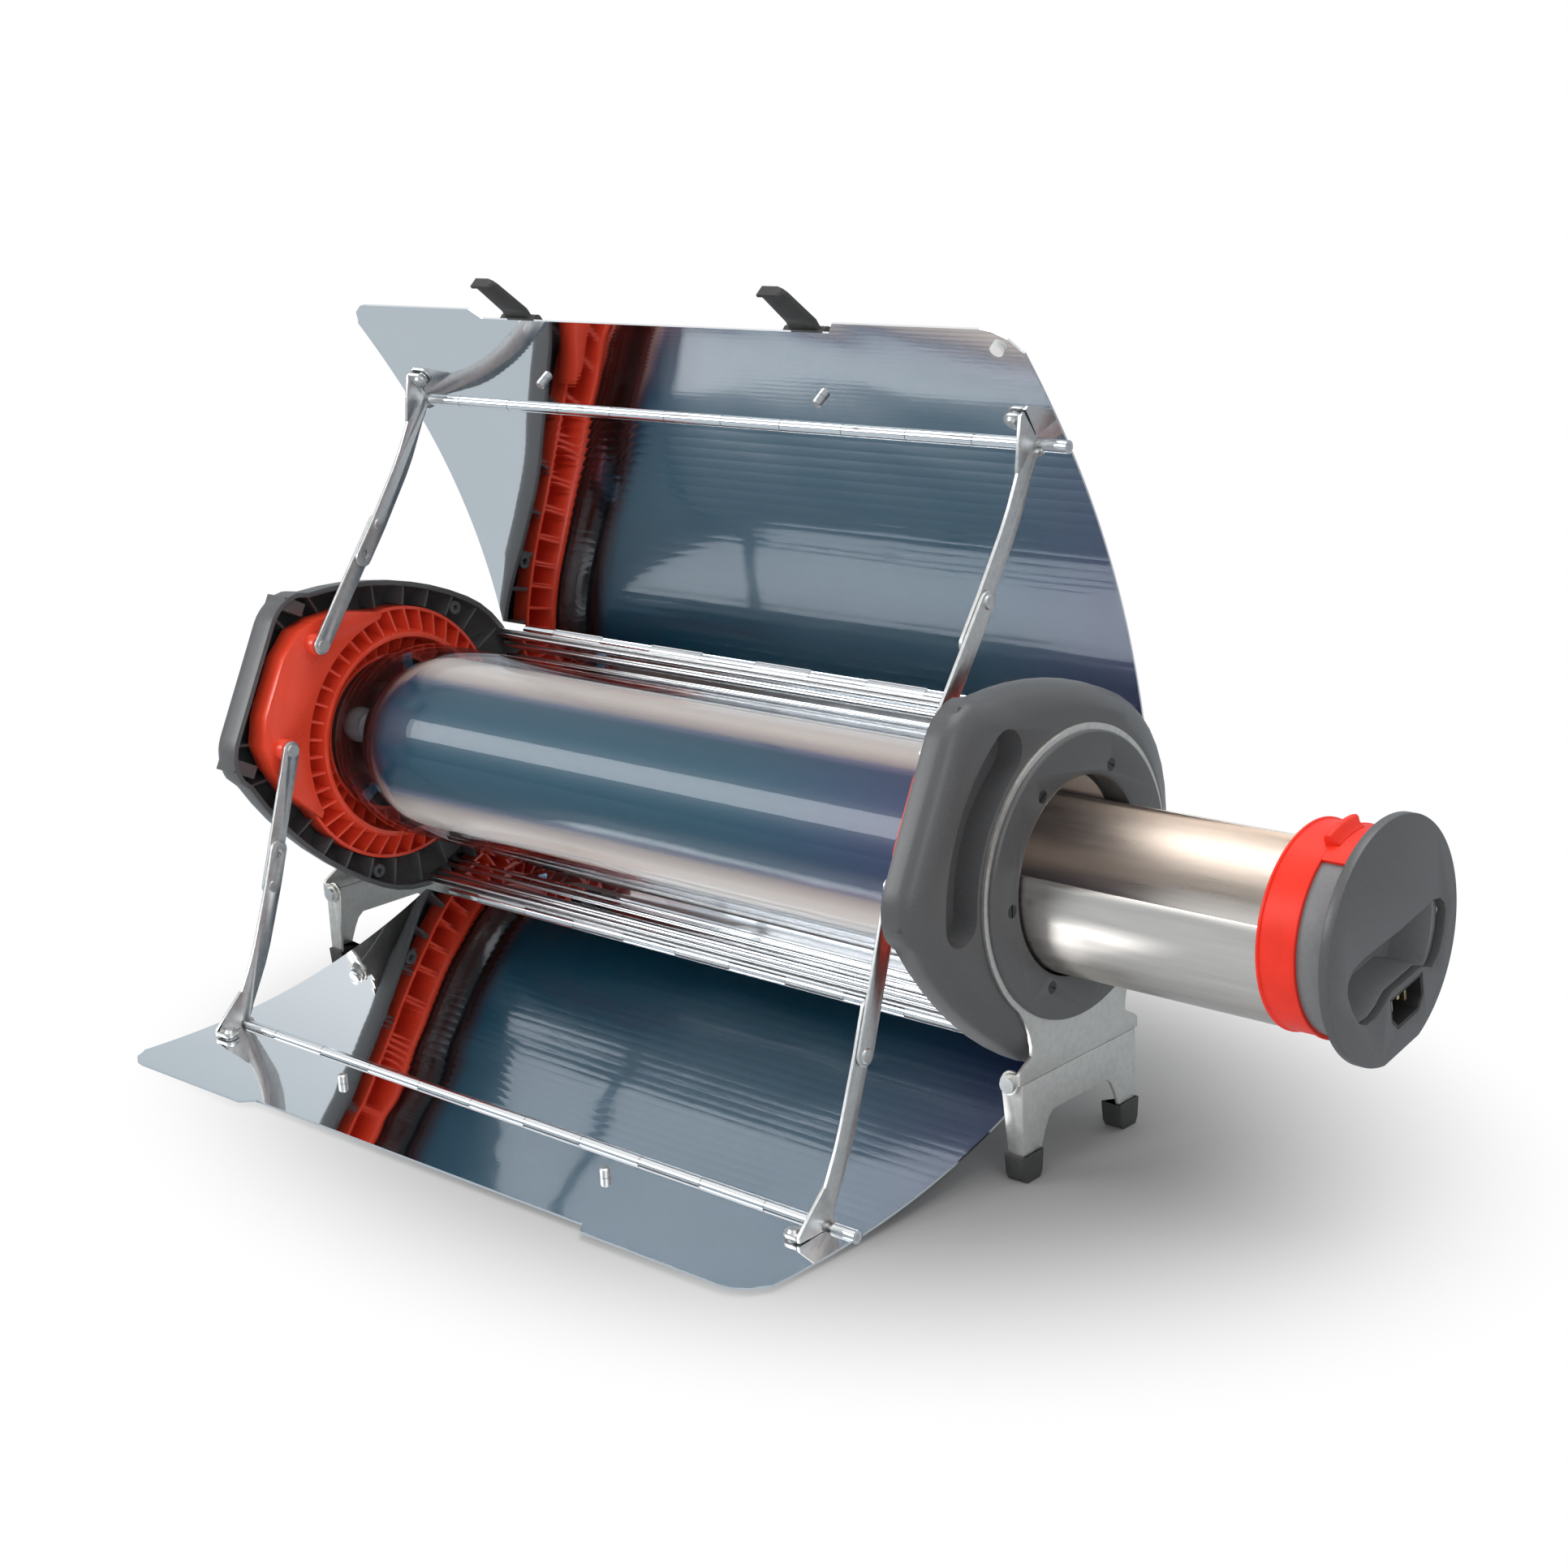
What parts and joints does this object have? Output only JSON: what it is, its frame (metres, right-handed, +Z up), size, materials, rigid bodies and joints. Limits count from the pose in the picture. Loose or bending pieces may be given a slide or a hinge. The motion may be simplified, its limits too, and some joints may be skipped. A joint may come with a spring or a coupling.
{
  "type": "tube solar oven",
  "caption": "Tabletop solar oven: glass vacuum tube between two dark end caps on folding stands, folding mirror reflectors above and below, sliding cooking tray with disc handle",
  "frame": {"origin": "on the floor under the middle of the whole outline with the tray drawn out", "axes": "+X along the glass tube towards the tray handle, -Y is the side the open reflectors face, +Z up"},
  "size_m": [0.7544, 0.3325, 0.4388],
  "materials": {
    "moulded_charcoal": "fine satin texture",
    "moulded_grey": "satin",
    "moulded_red": "glossy moulded",
    "red_silicone": "satin silicone",
    "stand_sheet": "matt rolled sheet, bright cut edges",
    "reflector": "mirror polished aluminium",
    "hinge_metal": "satin drawn aluminium",
    "bar_steel": "brushed",
    "tray_steel": "warm brushed stainless",
    "clear_glass": "clear borosilicate",
    "coated_glass": "dark selective coating under clear glass",
    "clip_metal": "bright spring metal",
    "black_rubber": "matt",
    "clear_cap": "translucent",
    "screw_black": "black oxide",
    "white_rubber": "matt",
    "pin_brass": "bright"
  },
  "bodies": {
    "stand_right": {"stand_plate_right": "stand_sheet", "leg_screws_right": "bar_steel"},
    "leg_r": {"leg_right": "stand_sheet", "feet_right": "black_rubber"},
    "stand_left": {"stand_plate_left": "stand_sheet", "leg_screws_left": "bar_steel"},
    "leg_l": {"leg_left": "stand_sheet", "feet_left": "black_rubber"},
    "cooker": {"cap_mouth": "moulded_charcoal", "cap_rear": "moulded_charcoal", "tube_holder_right": "moulded_red", "tube_holder_left": "moulded_red", "dome_cushion": "black_rubber", "mouth_ring": "moulded_charcoal", "mouth_screws": "screw_black", "rear_cover": "moulded_charcoal", "rear_screws": "screw_black", "outer_glass": "clear_glass", "inner_glass": "coated_glass", "tip_cap": "clear_cap", "getter_clips": "clip_metal", "mouth_seal": "black_rubber", "rear_reflector": "reflector", "body_rail_upper": "hinge_metal", "body_rail_lower": "hinge_metal", "strut_screws": "bar_steel"},
    "upper_inner": {"upper_inner_panel": "reflector", "upper_hinge_pin": "bar_steel"},
    "upper_outer": {"upper_outer_panel": "reflector", "upper_link_left": "bar_steel", "upper_link_right": "bar_steel", "upper_link_screws": "bar_steel", "upper_studs": "bar_steel", "edge_bumper": "white_rubber", "latch_bases": "black_rubber"},
    "hook_left": {"latch_hook_left": "black_rubber"},
    "hook_right": {"latch_hook_right": "black_rubber"},
    "upper_struts_left": {"upper_strut_left": "bar_steel"},
    "upper_struts_right": {"upper_strut_right": "bar_steel"},
    "lower_inner": {"lower_inner_panel": "reflector", "lower_hinge_pin": "bar_steel"},
    "lower_outer": {"lower_outer_panel": "reflector", "lower_link_left": "bar_steel", "lower_link_right": "bar_steel", "lower_link_screws": "bar_steel", "lower_studs": "bar_steel"},
    "lower_struts_left": {"lower_strut_left": "bar_steel"},
    "lower_struts_right": {"lower_strut_right": "bar_steel"},
    "tray": {"tray_trough": "tray_steel", "tray_band": "red_silicone", "tray_plug": "moulded_grey", "tray_handle": "moulded_charcoal", "power_inlet": "screw_black", "inlet_pins": "pin_brass"}
  },
  "joints": [
    {"name": "body_tilt", "type": "hinge", "parent": "stand_right", "child": "cooker", "pos_m": [0.2012, 0.06121, 0.1495], "axis": [-1, 0, 0], "range_deg": [0, 60]},
    {"name": "left_stand_ring", "type": "hinge", "parent": "cooker", "child": "stand_left", "pos_m": [-0.347, 0.06121, 0.1495], "axis": [1, 0, 0], "range_deg": [0, 60]},
    {"name": "right_leg_fold", "type": "hinge", "parent": "stand_right", "child": "leg_r", "pos_m": [0.1952, 0.06121, 0.0525], "axis": [0, 1, 0], "range_deg": [0, 20]},
    {"name": "left_leg_fold", "type": "hinge", "parent": "stand_left", "child": "leg_l", "pos_m": [-0.341, 0.06121, 0.0525], "axis": [0, -1, 0], "range_deg": [0, 20]},
    {"name": "upper_reflector", "type": "hinge", "parent": "cooker", "child": "upper_inner", "pos_m": [-0.0688, 0.15148, 0.20151], "axis": [1, 0, 0], "range_deg": [0, 45.73]},
    {"name": "upper_edge_sheet", "type": "hinge", "parent": "upper_inner", "child": "upper_outer", "pos_m": [-0.0688, 0.08794, 0.35794], "axis": [1, 0, 0], "range_deg": [0, 55.8]},
    {"name": "upper_strut_l", "type": "hinge", "parent": "cooker", "child": "upper_struts_left", "pos_m": [-0.3024, -0.00798, 0.22135], "axis": [-1, 0, 0], "range_deg": [0, 45.8]},
    {"name": "upper_strut_r", "type": "hinge", "parent": "cooker", "child": "upper_struts_right", "pos_m": [0.1648, -0.00798, 0.22135], "axis": [-1, 0, 0], "range_deg": [0, 45.8]},
    {"name": "lower_reflector", "type": "hinge", "parent": "cooker", "child": "lower_inner", "pos_m": [-0.0688, 0.07263, 0.04595], "axis": [-1, 0, 0], "range_deg": [0, 45.73]},
    {"name": "lower_edge_sheet", "type": "hinge", "parent": "lower_inner", "child": "lower_outer", "pos_m": [-0.0688, -0.0911, 0.00472], "axis": [-1, 0, 0], "range_deg": [0, 55.8]},
    {"name": "lower_strut_l", "type": "hinge", "parent": "cooker", "child": "lower_struts_left", "pos_m": [-0.3024, -0.03764, 0.16283], "axis": [1, 0, 0], "range_deg": [0, 45.8]},
    {"name": "lower_strut_r", "type": "hinge", "parent": "cooker", "child": "lower_struts_right", "pos_m": [0.1648, -0.03764, 0.16283], "axis": [1, 0, 0], "range_deg": [0, 45.8]},
    {"name": "latch_left", "type": "hinge", "parent": "upper_outer", "child": "hook_left", "pos_m": [-0.1738, 0.05461, 0.41295], "axis": [-1, 0, 0], "range_deg": [0, 95]},
    {"name": "latch_right", "type": "hinge", "parent": "upper_outer", "child": "hook_right", "pos_m": [0.0422, 0.05461, 0.41295], "axis": [-1, 0, 0], "range_deg": [0, 95]},
    {"name": "tray_slide", "type": "slide", "parent": "cooker", "child": "tray", "axis": [1, 0, 0], "range_m": [-0.1674, 0.06]}
  ],
  "couplings": [
    {"joint": "left_stand_ring", "follows": "body_tilt", "ratio": 1},
    {"joint": "upper_edge_sheet", "follows": "upper_reflector", "ratio": 1.2187},
    {"joint": "upper_strut_l", "follows": "upper_reflector", "ratio": 1.0007},
    {"joint": "upper_strut_r", "follows": "upper_reflector", "ratio": 1.0007},
    {"joint": "lower_edge_sheet", "follows": "lower_reflector", "ratio": 1.2187},
    {"joint": "lower_strut_l", "follows": "lower_reflector", "ratio": 1.0007},
    {"joint": "lower_strut_r", "follows": "lower_reflector", "ratio": 1.0007}
  ]
}
